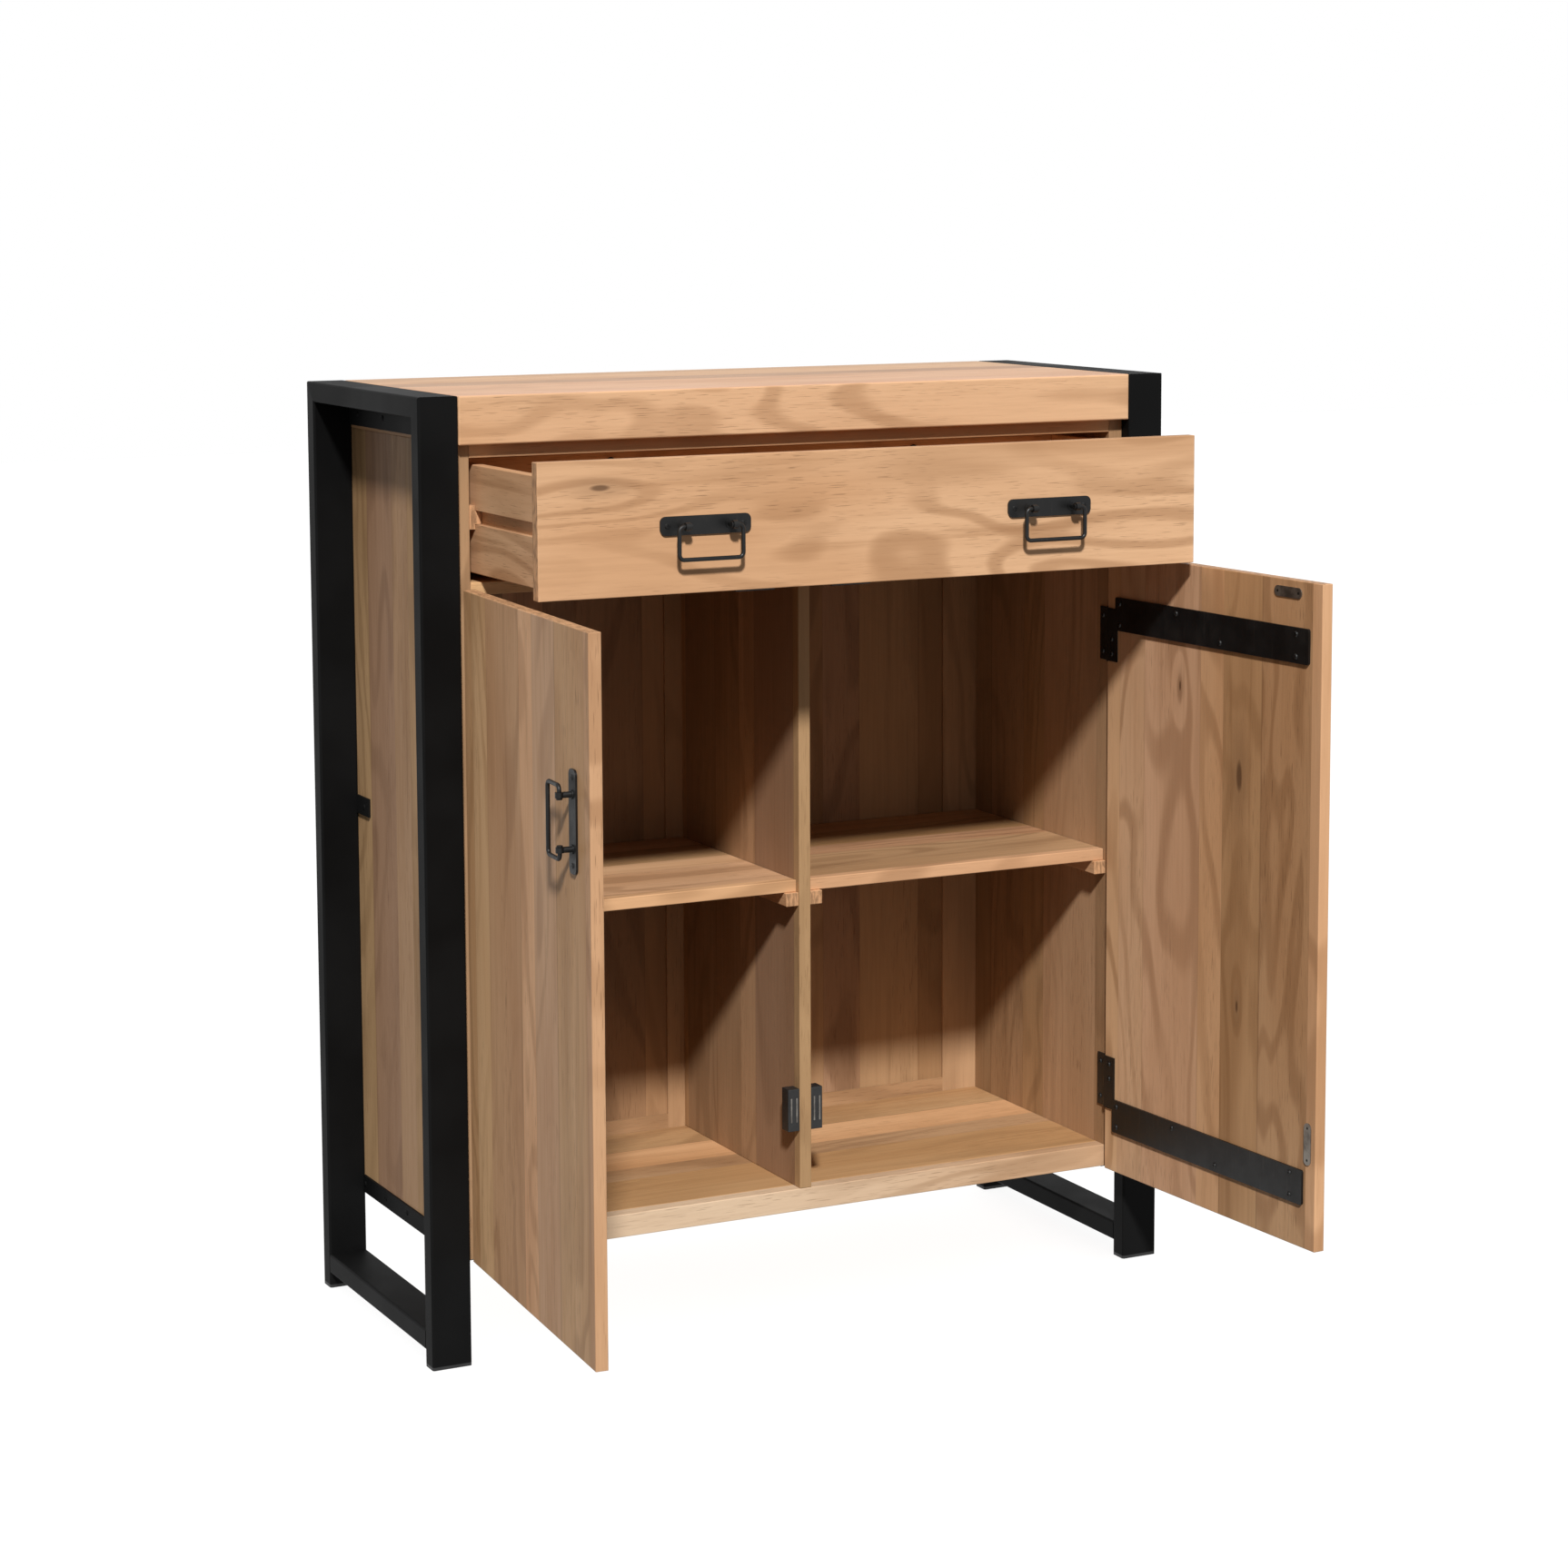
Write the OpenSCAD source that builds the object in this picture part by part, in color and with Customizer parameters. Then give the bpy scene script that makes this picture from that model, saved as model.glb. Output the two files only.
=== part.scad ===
// Tall sideboard: two black rectangular-tube side frames carry a wooden cabinet
// with one wide drawer over two doors. Each compartment has one shelf.
// Frame: +X right, +Y to the back, +Z up. The rest pose has the drawer pulled out and both doors
// swung open, and the origin is on the floor, in the middle of the box around that pose.

/* [Overall] */
// Overall width over both metal frames
overall_w = 1015; // [840:5:1300]
// Overall depth of the metal frames
overall_d = 388; // [320:2:480]
// Overall height
overall_h = 1160; // [960:5:1400]

/* [Metal frames] */
// Width of the rectangular tube seen from the front
tube_w = 50; // [40:1:60]
// Depth of the rectangular tube
tube_t = 25; // [20:1:32]
// Wall thickness of the tube
tube_wall = 2; // [1.5:0.25:3]
// Outer corner radius of the tube
tube_r = 3; // [2:0.5:4]
// Height of the floor runner above the floor
runner_raise = 19.5; // [12:0.5:60]
// Thickness of the plastic foot cap under a leg
cap_t = 4; // [3:0.5:8]
// Length of the cap's plug inside the leg
cap_plug = 14; // [8:1:20]
// Clearance between the cap's plug and the tube
cap_clearance = 0.2; // [0.1:0.05:0.5]

/* [Brackets] */
// Thickness of the steel angle, bracket and clip
bracket_t = 3; // [2:0.5:4]
// Leg length of the steel angle under the side panel
angle_leg = 22; // [18:1:30]
// Height of the bracket under the top rail
bracket_h = 29; // [22:1:32]
// Height of the clip's lower edge above the floor
clip_z = 614; // [400:1:700]
// Height of the clip on the rear leg
clip_h = 23; // [16:1:30]
// Reach of the clip in front of the rear leg
clip_reach = 43; // [30:1:60]
// Distance of the clip's screw behind its front end
clip_screw_inset = 14; // [8:1:20]
// Distance of the steel angle's first screw behind its front end
angle_front_inset = 32; // [8:1:60]
// Distance of the steel angle's last screw from its rear end
angle_rear_inset = 8; // [6:1:40]
// Distance of the top bracket's first screw behind its front end
bracket_front_inset = 45; // [8:0.5:60]
// Distance of the top bracket's last screw from its rear end
bracket_rear_inset = 29.5; // [8:0.5:40]
// Distance between the top bracket's last two screws
bracket_pitch = 89; // [40:1:100]

/* [Top] */
// Height of the front apron, top included
top_h = 58; // [45:1:80]
// Thickness of the top board
top_t = 22; // [16:1:30]
// Thickness of the aprons and battens under the top board
apron_t = 20; // [15:1:28]
// Edge rounding of the top and its apron
top_r = 2.5; // [1:0.5:4]

/* [Cabinet] */
// Height of the cabinet's lower edge above the floor
cabinet_raise = 124; // [90:1:200]
// Setback of the cabinet front behind the leg fronts
front_recess = 17; // [16:0.5:30]
// Setback of the cabinet back from the leg backs
back_recess = 16; // [8:1:30]
// Thickness of the side panels
side_t = 19; // [15:0.5:25]
// Height of the bottom front rail
floor_h = 28.5; // [22:0.5:40]
// Depth of the bottom front rail
floor_rail_t = 20; // [15:1:30]
// Thickness of the bottom board behind its rail
floor_t = 18; // [12:0.5:20]
// Thickness of the cabinet's own top board over the drawer
ceiling_t = 16; // [12:0.5:20]
// Clear height of the drawer bay
bay_h = 146.5; // [120:0.5:180]
// Thickness of the board between drawer and doors
mid_t = 15; // [12:0.5:20]
// Thickness of the centre divider
divider_t = 16; // [12:0.5:20]
// Edge rounding of the boards
board_r = 1; // [0.5:0.25:1.5]

/* [Shelves] */
// Height of the shelf surface above the floor
shelf_z = 544.5; // [420:0.5:620]
// Thickness of the shelves
shelf_t = 15; // [12:0.5:20]
// Setback of the shelf's front edge behind the divider's
shelf_recess = 7; // [2:0.5:40]
// Side of the square cleats under the shelves
cleat = 17; // [12:0.5:22]
// Setback of the cleats behind the divider's front
cleat_recess = 1.5; // [0.5:0.5:20]
// Gap at each end of a shelf
shelf_gap = 0.3; // [0.1:0.1:1]

/* [Back] */
// Thickness of the back's stiles and rails
back_t = 15; // [12:0.5:18]
// Width of the outer stiles
stile_w = 52; // [35:1:70]
// Width of the centre stile
centre_stile_w = 65; // [45:1:90]
// Height of the lower rail above the cabinet's lower edge
lower_rail_h = 47; // [40:1:80]
// Height of the upper rail
upper_rail_h = 60; // [40:1:80]
// Thickness of the back panels
back_panel_t = 7; // [5:0.5:9]
// Depth that a back panel enters the groove of its frame
groove_in = 8; // [5:0.5:10]
// Setback of a back panel from the frame's inner face
back_panel_recess = 4; // [2:0.5:5]

/* [Doors] */
// Thickness of the doors
door_t = 15; // [12:0.5:18]
// Gap between a closed door and the cabinet front
door_gap = 1.5; // [1:0.1:2.5]
// Gap between a door's hinge edge and the plane of the side panel
door_side_gap = 3; // [2.5:0.1:5]
// Gap between the two closed doors
door_mid_gap = 3; // [2:0.5:5]
// Drop of the door's lower edge below the cabinet's lower edge
door_drop = 1; // [0:0.5:4]
// Distance of the door's top edge below the drawer bay's floor
door_top_drop = 7.5; // [5:0.5:12]
// Opening angle of the left door at rest
left_open = 94; // [0:0.5:108]
// Opening angle of the right door at rest
right_open = 93.5; // [0:0.5:108]

/* [Hinges] */
// Distance of the hinge pin inside the side panel's plane
pin_in = 1.2; // [1:0.1:1.6]
// Distance of the hinge pin in front of the cabinet
pin_forward = 4.1; // [4:0.1:4.5]
// Radius of the hinge pin
pin_r = 1.5; // [1:0.1:1.8]
// Radial clearance of the hinge pin in its knuckles
pin_clearance = 0.06; // [0.03:0.01:0.1]
// Outer radius of the knuckles
knuckle_r = 3.2; // [2.8:0.1:3.4]
// Height of the hinge
hinge_h = 68.5; // [50:0.5:80]
// Depth of the fixed leaf on the side panel, behind the cabinet front
leaf_l = 15; // [12:0.5:20]
// Thickness of the hinge leaves
leaf_t = 2; // [1.5:0.25:2]
// Distance of a fixed leaf's screws behind the cabinet front
leaf_screw_back = 8.25; // [5:0.25:10]
// Distance of a fixed leaf's screws from its upper and lower end
leaf_screw_inset = 11; // [8:0.5:20]
// Distance of a door leaf's outer screw from the leaf's end
door_leaf_screw_inset = 10; // [7:0.5:14]
// Distance between a door leaf's two screws
door_leaf_screw_pitch = 19; // [12:0.5:22]
// Height of the head at each end of a hinge pin
pin_head_h = 1.2; // [0.8:0.1:2]
// Overhang of the pin's head around the pin
pin_head_rim = 1; // [0.5:0.1:1.5]
// Gap between the knuckles and a hinge leaf's cut-outs
leaf_cut_gap = 0.5; // [0.3:0.1:0.9]
// Room above and below a hinge in the door's edge
pocket_end_gap = 2.5; // [1.5:0.5:5]
// Gap between a fixed leaf and the web of a door leaf
web_gap = 0.3; // [0.2:0.1:0.5]
// Gap between hinge knuckles
knuckle_gap = 0.3; // [0.2:0.1:0.5]
// Gap between the knuckles and the pocket in the door's edge
pocket_gap = 0.6; // [0.5:0.1:0.9]
// Height of the lower hinge above the door's lower edge
lower_hinge_z = 82.5; // [70:0.5:120]
// Distance of the upper hinge's top below the door's top edge
upper_hinge_drop = 71; // [50:0.5:120]

/* [Strap plates] */
// Height of the strap plates
strap_h = 43; // [30:1:50]
// Thickness of the strap plates
strap_t = 3; // [2:0.5:3.5]
// Distance of the strap plate's start from the hinge edge
strap_start = 20; // [16:0.5:26]
// Distance of the strap plate's end from the door's free edge
strap_end = 22; // [18:0.5:60]
// Height of the upper strap's middle above the upper hinge's lower end
upper_strap_z = 62.5; // [50:0.5:66]
// Distance of the lower strap's middle below the lower hinge's lower end
lower_strap_drop = 7.5; // [0:0.5:16]

// Corner radius of a strap plate
strap_r = 3; // [1:0.5:6]
// Distance of a strap's first screw pair from its hinge end
strap_screw_start = 9; // [7:0.5:20]
// Distance of a strap's second screw from its hinge end
strap_second_screw = 129.5; // [60:0.5:140]
// Distance of a strap's third screw from its hinge end
strap_third_screw = 219.5; // [150:0.5:240]
// Distance of a strap's last screw pair from its free end
strap_screw_end = 24; // [8:0.5:60]
// Distance of a strap's screws from its long edges
strap_screw_edge = 8; // [6:0.5:12]

/* [Catches] */
// Length of a magnetic catch
catch_l = 54; // [40:1:60]
// Width of a magnetic catch
catch_w = 16; // [12:0.5:18]
// Depth of a magnetic catch
catch_d = 18; // [12:0.5:24]
// Height of the lower catches' lower end above the bottom board
catch_z = 74; // [74:0.5:200]
// Distance of the upper catches' middle from the cabinet's middle
upper_catch_x = 66; // [50:1:150]
// Height of the upper catches
upper_catch_h = 15; // [12:0.5:18]
// Thickness of a catch's steel pole plate
pole_t = 2; // [1.5:0.25:3]
// Length of a catch's pole plates
pole_l = 31; // [20:1:36]
// Distance between the middles of a catch's two pole plates
pole_pitch = 7.5; // [6:0.5:9]
// Distance of the pole plates in front of the catch body
pole_proud = 0.8; // [0.5:0.1:1.5]
// Depth of the pole plates inside the catch body
pole_in = 6; // [3:0.5:10]
// Gap between a pole plate and the strike of a closed door
strike_gap = 0.2; // [0.1:0.1:0.5]
// Length of a strike plate
strike_l = 52; // [40:1:60]
// Width of a strike plate
strike_w = 13; // [10:0.5:15]
// Thickness of a strike plate
strike_t = 1.2; // [0.8:0.1:1.5]
// Distance of a strike's screws from its ends
strike_screw_inset = 6.25; // [4:0.25:12]
// Length of a strike's screws in the wood
strike_screw_l = 5.4; // [4:0.1:8]

/* [Drawer] */
// Distance that the drawer is pulled out at rest
drawer_out = 184; // [0:1:240]
// Height of the drawer front
drawer_front_h = 157; // [140:0.5:180]
// Overhang of the drawer front below the drawer bay
drawer_front_drop = 2.5; // [1:0.5:4]
// Gap between the end of the drawer front and the plane of the side panel
drawer_end_gap = 1.5; // [1:0.25:3]
// Gap between the drawer's side and the cabinet's side panel
drawer_side_gap = 8; // [6:0.5:12]
// Height of the drawer's sides
drawer_side_h = 128; // [100:0.5:135]
// Height of the drawer's sides above the bay's floor
drawer_side_z = 10; // [4:0.5:14]
// Thickness of the drawer's sides
drawer_side_t = 14; // [12:0.5:18]
// Thickness of the drawer's back
drawer_back_t = 13; // [9:0.5:18]
// Space behind the closed drawer
drawer_rear_gap = 38; // [15:1:70]
// Thickness of the drawer's bottom
drawer_bottom_t = 6; // [4:0.5:9]
// Height of the drawer's bottom above the lower edge of its sides
drawer_bottom_z = 8; // [6:0.5:15]
// Depth that the drawer's bottom enters the grooves of the sides
bottom_in = 5; // [3:0.5:6]
// Middle height of the runner above the drawer side's lower edge
runner_mid_z = 66.5; // [50:0.5:75]
// Height of the runner's wide base
runner_base_h = 28; // [22:0.5:34]
// Height of the runner's tongue in the drawer's groove
runner_tongue_h = 16; // [12:0.5:18]
// Depth of the groove in the drawer's side
groove_d = 8; // [5:0.5:9]
// Setback of the runners behind the cabinet front
runner_recess = 2; // [0.5:0.5:20]
// Running clearance between the drawer and its runners
slide_gap = 0.5; // [0.3:0.1:1.5]

/* [Handles] */
// Length of a handle's back plate
plate_l = 115; // [100:1:140]
// Width of a handle's back plate
plate_w = 22; // [18:0.5:28]
// Thickness of a handle's back plate
plate_t = 2.5; // [2:0.25:4]
// Corner radius of a handle's back plate
plate_r = 7; // [3:0.5:8]
// Distance of a handle's screws from the ends of its plate
face_screw_inset = 9; // [7:0.5:14]
// Width of an eye along the bail's axis
eye_w = 6; // [4:0.5:8]
// Wall of an eye around the bar
eye_wall = 2.2; // [1.5:0.1:3]
// Radius of an eye post
post_r = 3.4; // [2.5:0.1:4.5]
// Radius of the collar at an eye post's foot
collar_r = 5.2; // [4:0.1:7]
// Height of the collar on the plate
collar_h = 1.5; // [0.5:0.1:3]
// Length of the bar's end inside an eye post, measured from the eye
bar_end = 2; // [1.6:0.1:4]
// Thickness of the upset head at the bar's end
bar_head_t = 1.4; // [0.8:0.1:1.6]
// Overhang of the upset head around the bar
bar_head_rim = 0.9; // [0.4:0.1:1.4]
// Distance of each eye post from the handle's middle
post_x = 30; // [24:1:34]
// Distance of the bail's axis in front of the door or drawer face
bail_standoff = 17; // [13:0.5:24]
// Radius of the bail's bar
bar_r = 2.5; // [2:0.1:3]
// Radial clearance of the bar in its eyes
bar_clearance = 0.1; // [0.05:0.01:0.1]
// Distance of a bail arm's middle line outside its eye post
arm_out = 10.5; // [10:0.5:14]
// Drop of the bail from its axis to the middle line of its grip
bail_drop = 38; // [30:0.5:50]
// Bend radius of the bail's corners
bail_bend = 6; // [4:0.5:6.5]
// Distance of a drawer handle's middle from the end of the drawer front
handle_inset = 208; // [80:1:210]
// Distance of a door handle's middle line from the door's free edge
door_handle_inset = 50; // [40:1:80]
// Distance of a door handle's middle below the door's top edge
door_handle_drop = 211; // [90:1:400]

/* [Screws] */
// Distance of a bolt in the drawer's back from the end of the drawer front
bolt_inset = 226; // [60:1:300]
// Distance of those bolts below the top edge of the drawer's back
bolt_drop = 12; // [10:0.5:40]
// Radius of the bolt heads inside the drawer's back
bolt_head_r = 6; // [4:0.5:8]
// Thickness of the washers under those bolt heads
washer_t = 0.8; // [0.5:0.1:1.5]
// Height of the bolt heads inside the drawer's back
bolt_head_h = 4; // [2:0.5:6]
// Radius of a screw's head
head_r = 3.6; // [3:0.1:4.5]
// Height of a screw's head
head_h = 1.3; // [1:0.1:1.4]
// Radius of a screw's shank
shank_r = 1.6; // [1.2:0.1:2]
// Length of a screw in the wood
screw_l = 9; // [6:0.5:10]
// Height of the thin head on a strike's screws
flush_head_h = 0.1; // [0.05:0.01:0.15]

/* [Hidden] */
$fn = 32;
wood = [0.80, 0.61, 0.42];
black = [0.06, 0.06, 0.065];
steel = [0.62, 0.62, 0.60];
plastic = [0.03, 0.03, 0.03];
overlap = 0.01;

// Main planes of the frames
half_w = overall_w / 2;
leg_in_x = half_w - tube_w;
in_x = leg_in_x - side_t;

// Reach of the open doors and drawer in front of the frames
door_arm = in_x - pin_in - door_mid_gap / 2;
door_behind_pin = pin_forward - door_gap;
door_before_pin = door_t - door_behind_pin;
pin_recess = front_recess - pin_forward;
drawer_reach = drawer_out - front_recess + door_gap + door_t + bail_standoff + bar_r;
front_reach = max(drawer_reach, open_reach(left_open), open_reach(right_open));
mid_y = front_reach / 2;
front_y = mid_y - overall_d / 2;
back_y = mid_y + overall_d / 2;

// Main planes of the cabinet
cab_front = front_y + front_recess;
cab_back = back_y - back_recess;
floor_top = cabinet_raise + floor_h;
cab_top = overall_h - top_h;
bay_top = cab_top - ceiling_t;
bay_floor = bay_top - bay_h;
back_in = cab_back - back_t;

// Doors, in their closed place
door_in_y = cab_front - door_gap;
door_out_y = door_in_y - door_t;
door_x0 = in_x - door_side_gap;
door_w = door_x0 - door_mid_gap / 2;
door_z0 = cabinet_raise - door_drop;
door_z1 = bay_floor - door_top_drop;
pin_x = in_x - pin_in;
pin_y = cab_front - pin_forward;
hinge_z = [door_z0 + lower_hinge_z, door_z1 - upper_hinge_drop - hinge_h];
knuckle_n = 5;
knuckle_h = hinge_h / knuckle_n;
strap_z = [hinge_z[0] - lower_strap_drop, hinge_z[1] + upper_strap_z];
strap_len = door_w - strap_start - strap_end;
strap_first_x = strap_start + strap_screw_start;
strap_last_x = strap_start + strap_len - strap_screw_end;
strap_mid_x = strap_start + strap_second_screw;
strap_far_x = strap_start + strap_third_screw;
strap_pair_z = strap_h / 2 - strap_screw_edge;
leaf_w = strap_start + 2;
pocket_r = knuckle_r + pocket_gap;
web_end = sqrt(pow(pocket_r, 2) - pow(door_behind_pin, 2)) - 0.05;
web_start = leaf_t - pin_in + web_gap;
door_handle_x = door_mid_gap / 2 + door_handle_inset;
door_handle_z = door_z1 - door_handle_drop;

// Catches and strikes
catch_front = door_in_y + strike_t + strike_gap + pole_proud;
lower_catch_mid_z = floor_top + catch_z + catch_l / 2;
upper_catch_mid_z = bay_floor - mid_t - upper_catch_h / 2;
strike_mid_x = divider_t / 2 + catch_w / 2;

// Drawer, in its closed place
drawer_w2 = in_x - drawer_end_gap;
drawer_z0 = bay_floor - drawer_front_drop;
drawer_side_x = in_x - drawer_side_gap;
drawer_low = bay_floor + drawer_side_z;
drawer_rear = back_in - drawer_rear_gap;
runner_z = drawer_low + runner_mid_z;
handle_x = drawer_w2 - handle_inset;
handle_z = drawer_z0 + drawer_front_h / 2;
back_screw_x = drawer_w2 - bolt_inset;
back_screw_z = drawer_low + drawer_side_h - bolt_drop;
face_screw_x = plate_l / 2 - face_screw_inset;
eye_r = bar_r + eye_wall;
arm_x = post_x + arm_out;

function open_reach(a) =
    door_arm * sin(a) + max(-door_behind_pin * cos(a), door_before_pin * cos(a)) - pin_recess;

// ---------- shapes that repeat ----------

// Flat rectangle with rounded corners, from its lower left corner
module round_rect(w, h, r, n = 24) {
    translate([r, 0]) square([w - 2 * r, h]);
    translate([0, r]) square([w, h - 2 * r]);
    for (x = [r, w - r], y = [r, h - r]) translate([x, y]) circle(r, $fn = n);
}

// Board between two corners, with all its edges eased
module board(p0, p1, r = board_r, n = 8) {
    s = p1 - p0;
    translate(p0) intersection() {
        linear_extrude(s.z) round_rect(s.x, s.y, r, n);
        translate([0, s.y, 0]) rotate([90, 0, 0]) linear_extrude(s.y) round_rect(s.x, s.z, r, n);
        rotate([90, 0, 90]) linear_extrude(s.x) round_rect(s.y, s.z, r, n);
    }
}

module box(p0, p1) {
    translate(p0) cube(p1 - p0);
}

// Copies on both sides of the middle plane
module both_sides() {
    children();
    mirror([1, 0, 0]) children();
}

// Oblong plate with round ends, centred, lying in XY with its length along X
module oblong(l, w, t) {
    linear_extrude(t) {
        square([l - w, w], center = true);
        for (s = [-1, 1]) translate([s * (l - w) / 2, 0]) circle(w / 2);
    }
}

// Screw with a crossed pan head; the head stands on z = 0 and the shank points down
module screw(grip) {
    difference() {
        cylinder(r1 = head_r, r2 = head_r * 0.72, h = head_h, $fn = 18);
        for (a = [0, 90]) rotate([0, 0, a])
            translate([-head_r * 0.5, -0.4, head_h * 0.5]) cube([head_r, 0.8, head_h]);
    }
    translate([0, 0, -grip]) cylinder(r = shank_r, h = grip + overlap, $fn = 14);
}

module screw_hole(grip) {
    translate([0, 0, -grip]) cylinder(r = shank_r, h = grip + 1, $fn = 14);
}

// ---------- metal frames ----------

module tube_profile() {
    difference() {
        translate([-tube_w / 2, -tube_t / 2]) round_rect(tube_w, tube_t, tube_r);
        translate([tube_wall - tube_w / 2, tube_wall - tube_t / 2])
            round_rect(tube_w - 2 * tube_wall, tube_t - 2 * tube_wall, tube_r - tube_wall + 0.5);
    }
}

// Cuts a left-side tube's end to the 45 degree mitre; the kept side lies below the cut
module mitre_below(y0, s) {
    translate([-half_w - 1, 0, 0]) rotate([90, 0, 90]) linear_extrude(tube_w + 2)
        polygon([
            [y0 - s, 0],
            [y0 + s * (tube_t + 1), 0],
            [y0 + s * (tube_t + 1), overall_h - tube_t - 1],
            [y0 - s, overall_h + 1]
        ]);
}

module leg_shape(y0, s) {
    intersection() {
        translate([-half_w + tube_w / 2, y0 + s * tube_t / 2, cap_t])
            linear_extrude(overall_h - cap_t) tube_profile();
        mitre_below(y0, s);
    }
}

module top_rail_shape() {
    difference() {
        translate([-half_w + tube_w / 2, back_y, overall_h - tube_t / 2]) rotate([90, 0, 0])
            linear_extrude(overall_d) tube_profile();
        mitre_below(front_y, 1);
        mitre_below(back_y, -1);
    }
}

module runner_shape() {
    translate([-half_w + tube_w / 2, back_y - tube_t, runner_raise + tube_t / 2]) rotate([90, 0, 0])
        linear_extrude(overall_d - 2 * tube_t) tube_profile();
}

module left_front_leg() {
    color(black) leg_shape(front_y, 1);
}

module left_rear_leg() {
    color(black) leg_shape(back_y, -1);
}

module left_top_rail() {
    color(black) top_rail_shape();
}

module left_floor_runner() {
    color(black) runner_shape();
}

module right_front_leg() {
    color(black) mirror([1, 0, 0]) leg_shape(front_y, 1);
}

module right_rear_leg() {
    color(black) mirror([1, 0, 0]) leg_shape(back_y, -1);
}

module right_top_rail() {
    color(black) mirror([1, 0, 0]) top_rail_shape();
}

module right_floor_runner() {
    color(black) mirror([1, 0, 0]) runner_shape();
}

module foot_caps() {
    plug = tube_wall + cap_clearance;
    color(plastic) both_sides() for (s = [-1, 1])
        translate([-half_w + tube_w / 2, mid_y + s * (overall_d / 2 - tube_t / 2), 0]) {
            translate([-tube_w / 2, -tube_t / 2]) linear_extrude(cap_t) round_rect(tube_w, tube_t, tube_r);
            translate([plug - tube_w / 2, plug - tube_t / 2]) linear_extrude(cap_t + cap_plug)
                round_rect(tube_w - 2 * plug, tube_t - 2 * plug, tube_r - tube_wall + 0.5);
        }
}

// ---------- brackets between frames and cabinet ----------

bracket_x = leg_in_x + bracket_t;
angle_n = 5;
angle_y0 = front_y + tube_t + angle_front_inset;
angle_y1 = back_y - tube_t - angle_rear_inset;
angle_screw_z = cabinet_raise + angle_leg / 2 - bracket_t / 2;
top_bracket_z = [overall_h - tube_t - bracket_h, overall_h - tube_t];
clip_y = [back_y - tube_t - clip_reach, back_y - tube_t];
bracket_last_y = back_y - tube_t - bracket_rear_inset;
bracket_screw_y = [front_y + tube_t + bracket_front_inset, bracket_last_y - bracket_pitch, bracket_last_y];

// Places of the screws through the brackets, heads facing outwards on the left side
module left_frame_screws_at() {
    for (i = [0 : angle_n - 1])
        translate([-bracket_x, angle_y0 + (angle_y1 - angle_y0) * i / (angle_n - 1), angle_screw_z])
            rotate([0, -90, 0]) children();
    for (y = bracket_screw_y)
        translate([-bracket_x, y, top_bracket_z[0] + bracket_h / 2]) rotate([0, -90, 0]) children();
    translate([-bracket_x, clip_y[0] + clip_screw_inset, clip_z + clip_h / 2])
        rotate([0, -90, 0]) children();
}

module bottom_angles() {
    color(black) both_sides() difference() {
        union() {
            box([-bracket_x, front_y + tube_t, cabinet_raise - bracket_t],
                [-leg_in_x, back_y - tube_t, cabinet_raise - bracket_t + angle_leg]);
            box([-bracket_x, front_y + tube_t, cabinet_raise - bracket_t],
                [-bracket_x + angle_leg, back_y - tube_t, cabinet_raise]);
        }
        left_frame_screws_at() screw_hole(screw_l);
    }
}

module top_brackets() {
    color(black) both_sides() difference() {
        box([-bracket_x, front_y + tube_t, top_bracket_z[0]],
            [-leg_in_x, back_y - tube_t, top_bracket_z[1]]);
        left_frame_screws_at() screw_hole(screw_l);
    }
}

module rear_clips() {
    color(black) both_sides() difference() {
        box([-bracket_x, clip_y[0], clip_z], [-leg_in_x, clip_y[1], clip_z + clip_h]);
        left_frame_screws_at() screw_hole(screw_l);
    }
}

module frame_screws() {
    color(black) both_sides() left_frame_screws_at() screw(screw_l);
}

// ---------- top ----------

// Outer block of the top, shared by its mitred pieces
module top_outline() {
    board([-leg_in_x, front_y, cab_top], [leg_in_x, back_y, overall_h], top_r, 16);
}

module top_profile(points) {
    translate([-leg_in_x, 0, 0]) rotate([90, 0, 90]) linear_extrude(2 * leg_in_x) polygon(points);
}

module top_board() {
    color(wood) intersection() {
        top_outline();
        top_profile([
            [front_y, overall_h],
            [back_y, overall_h],
            [back_y - apron_t, overall_h - top_t],
            [front_y + apron_t, overall_h - top_t]
        ]);
    }
}

module top_apron(s) {
    y = mid_y + s * overall_d / 2;
    intersection() {
        top_outline();
        top_profile([
            [y, overall_h],
            [y, cab_top],
            [y - s * apron_t, cab_top],
            [y - s * apron_t, overall_h - top_t]
        ]);
    }
}

module top_front_apron() {
    color(wood) top_apron(-1);
}

module top_rear_apron() {
    color(wood) top_apron(1);
}

module top_end_battens() {
    color(wood) both_sides() difference() {
        box([-leg_in_x, front_y + apron_t, cab_top],
            [-leg_in_x + apron_t, back_y - apron_t, overall_h - top_t]);
        left_frame_screws_at() screw_hole(screw_l);
    }
}

// ---------- cabinet ----------

module side_panel_shape() {
    difference() {
        board([-leg_in_x, cab_front, cabinet_raise], [-in_x, cab_back, cab_top]);
        left_frame_screws_at() screw_hole(screw_l);
        left_leaf_screws_at() screw_hole(screw_l);
    }
}

module left_side_panel() {
    color(wood) side_panel_shape();
}

module right_side_panel() {
    color(wood) mirror([1, 0, 0]) side_panel_shape();
}

module cabinet_ceiling() {
    color(wood) board([-in_x, cab_front, bay_top], [in_x, back_in, cab_top]);
}

module mid_board() {
    color(wood) board([-in_x, cab_front, bay_floor - mid_t], [in_x, back_in, bay_floor]);
}

module bottom_board() {
    color(wood) board([-in_x, cab_front + floor_rail_t, floor_top - floor_t], [in_x, back_in, floor_top]);
}

module bottom_front_rail() {
    color(wood) board([-in_x, cab_front, cabinet_raise], [in_x, cab_front + floor_rail_t, floor_top]);
}

module divider() {
    color(wood) board([-divider_t / 2, cab_front, floor_top], [divider_t / 2, back_in, bay_floor - mid_t]);
}

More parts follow.
